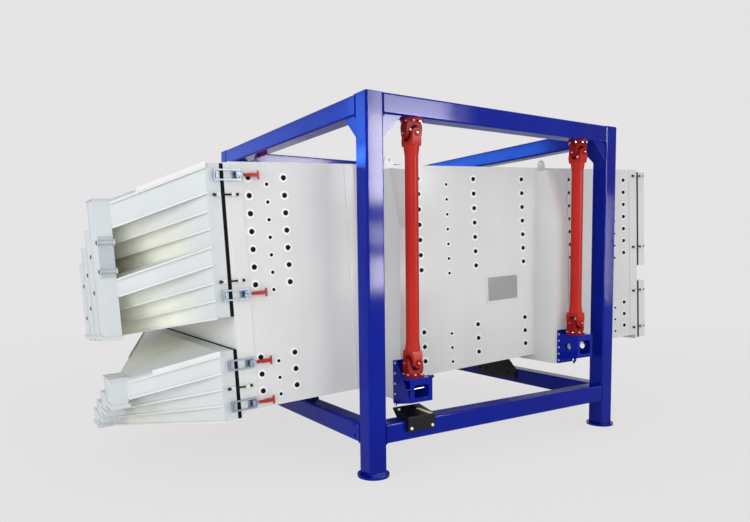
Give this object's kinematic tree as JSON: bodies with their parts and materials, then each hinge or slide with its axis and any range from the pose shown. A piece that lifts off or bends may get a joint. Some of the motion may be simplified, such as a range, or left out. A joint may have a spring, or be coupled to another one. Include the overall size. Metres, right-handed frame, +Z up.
{
  "type": "square tumbler screen",
  "caption": "Multi-deck square tumbler screen: a sloping screen box hung on cardan rods from a blue post frame, with ducted discharge hoods at one end.",
  "frame": {"origin": "floor level at the middle of the post frame's footprint", "axes": "+X towards the feed end, away from the discharge hoods; +Y away from the side shown in the picture; +Z up"},
  "size_m": [6.0025, 3.2598, 3],
  "materials": {
    "frame_paint": "semi-gloss blue paint on square steel tube",
    "rod_paint": "semi-gloss red paint",
    "cross_steel": "ground steel trunnions",
    "box_paint": "satin warm off-white paint on sheet steel",
    "hood_paint": "satin cool white paint on sheet steel",
    "seal_rubber": "matte black",
    "stop_paint": "satin black paint",
    "cover_grey": "satin grey paint",
    "screen_frame_steel": "plain steel bar",
    "screen_cloth": "woven wire cloth",
    "drive_iron": "grey casting",
    "drive_steel": "turned steel",
    "belt_rubber": "matte black",
    "lever_paint": "gloss red grip",
    "link_steel": "zinc plated steel"
  },
  "bodies": {
    "frame": {"corner_posts": "frame_paint", "top_long_beams": "frame_paint", "top_cross_beams": "frame_paint", "bottom_long_beams": "frame_paint", "bottom_cross_beams": "frame_paint", "haunch_gussets": "frame_paint", "foot_plates": "frame_paint", "stop_brackets": "stop_paint", "upper_flange_yokes": "rod_paint"},
    "top_joint_near_discharge": {"top_cross_near_discharge": "cross_steel"},
    "rod_near_discharge": {"hanger_rod_near_discharge": "rod_paint"},
    "bottom_joint_near_discharge": {"bottom_cross_near_discharge": "cross_steel"},
    "top_joint_far_discharge": {"top_cross_far_discharge": "cross_steel"},
    "rod_far_discharge": {"hanger_rod_far_discharge": "rod_paint"},
    "bottom_joint_far_discharge": {"bottom_cross_far_discharge": "cross_steel"},
    "top_joint_near_feed": {"top_cross_near_feed": "cross_steel"},
    "rod_near_feed": {"hanger_rod_near_feed": "rod_paint"},
    "bottom_joint_near_feed": {"bottom_cross_near_feed": "cross_steel"},
    "top_joint_far_feed": {"top_cross_far_feed": "cross_steel"},
    "rod_far_feed": {"hanger_rod_far_feed": "rod_paint"},
    "bottom_joint_far_feed": {"bottom_cross_far_feed": "cross_steel"},
    "screen_box": {"lower_flange_yokes": "rod_paint", "near_side_wall": "box_paint", "far_side_wall": "box_paint", "inspection_covers": "cover_grey", "top_cover": "box_paint", "bottom_pan": "box_paint", "feed_inlet": "box_paint", "end_frames": "box_paint", "hood_and_door_seals": "seal_rubber", "screen_frames": "screen_frame_steel", "screen_meshes": "screen_cloth", "deck_rails": "box_paint", "drive_bay_plates": "box_paint", "upper_hood": "hood_paint", "lower_hood": "hood_paint", "duct_door": "hood_paint", "upper_feed_door": "box_paint", "lower_feed_door": "box_paint", "suspension_columns": "box_paint", "rod_brackets": "frame_paint", "cross_sills": "box_paint", "lifting_lugs": "box_paint", "shaft_bearings": "drive_iron", "drive_belts": "belt_rubber", "drive_motor": "drive_iron", "clamp_bases": "link_steel", "lock_blocks": "box_paint", "lock_bolts": "link_steel"},
    "exciter": {"eccentric_shaft": "drive_steel", "eccentric_weights": "drive_iron", "driven_pulley": "drive_iron"},
    "motor_rotor": {"motor_pulley": "drive_iron"},
    "levers_near_discharge": {"clamp_levers_near_discharge": "lever_paint"},
    "links_near_discharge": {"clamp_links_near_discharge": "link_steel"},
    "levers_far_discharge": {"clamp_levers_far_discharge": "lever_paint"},
    "links_far_discharge": {"clamp_links_far_discharge": "link_steel"}
  },
  "joints": [
    {"name": "swing_across_near_discharge", "type": "hinge", "parent": "frame", "child": "top_joint_near_discharge", "pos_m": [-1, -1.5, 2.725], "axis": [1, 0, 0], "range_deg": [-1, 1]},
    {"name": "swing_along_near_discharge", "type": "hinge", "parent": "top_joint_near_discharge", "child": "rod_near_discharge", "pos_m": [-1, -1.5, 2.725], "axis": [0, 1, 0], "range_deg": [-1, 1]},
    {"name": "lower_along_near_discharge", "type": "hinge", "parent": "rod_near_discharge", "child": "bottom_joint_near_discharge", "pos_m": [-1, -1.5, 0.88], "axis": [0, 1, 0], "range_deg": [-1.2, 1.2]},
    {"name": "box_across", "type": "hinge", "parent": "bottom_joint_near_discharge", "child": "screen_box", "pos_m": [-1, -1.5, 0.88], "axis": [1, 0, 0], "range_deg": [-1.2, 1.2]},
    {"name": "swing_across_far_discharge", "type": "hinge", "parent": "frame", "child": "top_joint_far_discharge", "pos_m": [-1, 1.5, 2.725], "axis": [1, 0, 0], "range_deg": [-1.2, 1.2]},
    {"name": "swing_along_far_discharge", "type": "hinge", "parent": "top_joint_far_discharge", "child": "rod_far_discharge", "pos_m": [-1, 1.5, 2.725], "axis": [0, 1, 0], "range_deg": [-1.2, 1.2]},
    {"name": "lower_along_far_discharge", "type": "hinge", "parent": "rod_far_discharge", "child": "bottom_joint_far_discharge", "pos_m": [-1, 1.5, 0.88], "axis": [0, 1, 0], "range_deg": [-1.2, 1.2]},
    {"name": "swing_across_near_feed", "type": "hinge", "parent": "frame", "child": "top_joint_near_feed", "pos_m": [1, -1.5, 2.725], "axis": [1, 0, 0], "range_deg": [-1.32, 1.32]},
    {"name": "swing_along_near_feed", "type": "hinge", "parent": "top_joint_near_feed", "child": "rod_near_feed", "pos_m": [1, -1.5, 2.725], "axis": [0, 1, 0], "range_deg": [-1.32, 1.32]},
    {"name": "lower_along_near_feed", "type": "hinge", "parent": "rod_near_feed", "child": "bottom_joint_near_feed", "pos_m": [1, -1.5, 1.08], "axis": [0, 1, 0], "range_deg": [-1.32, 1.32]},
    {"name": "swing_across_far_feed", "type": "hinge", "parent": "frame", "child": "top_joint_far_feed", "pos_m": [1, 1.5, 2.725], "axis": [1, 0, 0], "range_deg": [-1.32, 1.32]},
    {"name": "swing_along_far_feed", "type": "hinge", "parent": "top_joint_far_feed", "child": "rod_far_feed", "pos_m": [1, 1.5, 2.725], "axis": [0, 1, 0], "range_deg": [-1.32, 1.32]},
    {"name": "lower_along_far_feed", "type": "hinge", "parent": "rod_far_feed", "child": "bottom_joint_far_feed", "pos_m": [1, 1.5, 1.08], "axis": [0, 1, 0], "range_deg": [-1.32, 1.32]},
    {"name": "exciter_spin", "type": "hinge", "parent": "screen_box", "child": "exciter", "pos_m": [0.06237, 0, 1.27342], "axis": [-0.048, 0, 0.9988], "continuous": true},
    {"name": "motor_spin", "type": "hinge", "parent": "screen_box", "child": "motor_rotor", "pos_m": [0.05987, -0.62, 1.32536], "axis": [-0.048, 0, 0.9988], "continuous": true},
    {"name": "clamp_open_near_discharge", "type": "hinge", "parent": "screen_box", "child": "levers_near_discharge", "pos_m": [-2.30229, -1.138, 1.52225], "axis": [-0.048, 0, 0.9988], "range_deg": [-150, 0]},
    {"name": "clamp_link_near_discharge", "type": "hinge", "parent": "levers_near_discharge", "child": "links_near_discharge", "pos_m": [-2.27832, -1.133, 1.5234], "axis": [-0.048, 0, 0.9988], "range_deg": [0, 150]},
    {"name": "clamp_open_far_discharge", "type": "hinge", "parent": "screen_box", "child": "levers_far_discharge", "pos_m": [-2.30229, 1.138, 1.52225], "axis": [-0.048, 0, 0.9988], "range_deg": [0, 150]},
    {"name": "clamp_link_far_discharge", "type": "hinge", "parent": "levers_far_discharge", "child": "links_far_discharge", "pos_m": [-2.27832, 1.133, 1.5234], "axis": [-0.048, 0, 0.9988], "range_deg": [-150, 0]}
  ],
  "couplings": [
    {"joint": "lower_along_near_discharge", "follows": "swing_along_near_discharge", "ratio": -1},
    {"joint": "swing_across_far_discharge", "follows": "swing_across_near_discharge", "ratio": 1},
    {"joint": "swing_along_far_discharge", "follows": "swing_along_near_discharge", "ratio": 1},
    {"joint": "lower_along_far_discharge", "follows": "swing_along_near_discharge", "ratio": -1},
    {"joint": "swing_across_near_feed", "follows": "swing_across_near_discharge", "ratio": 1.1216},
    {"joint": "swing_along_near_feed", "follows": "swing_along_near_discharge", "ratio": 1.1216},
    {"joint": "lower_along_near_feed", "follows": "swing_along_near_discharge", "ratio": -1.1216},
    {"joint": "swing_across_far_feed", "follows": "swing_across_near_discharge", "ratio": 1.1216},
    {"joint": "swing_along_far_feed", "follows": "swing_along_near_discharge", "ratio": 1.1216},
    {"joint": "lower_along_far_feed", "follows": "swing_along_near_discharge", "ratio": -1.1216},
    {"joint": "box_across", "follows": "swing_across_near_discharge", "ratio": -1},
    {"joint": "motor_spin", "follows": "exciter_spin", "ratio": 3.875},
    {"joint": "clamp_link_near_discharge", "follows": "clamp_open_near_discharge", "ratio": -1},
    {"joint": "clamp_link_far_discharge", "follows": "clamp_open_far_discharge", "ratio": -1}
  ]
}
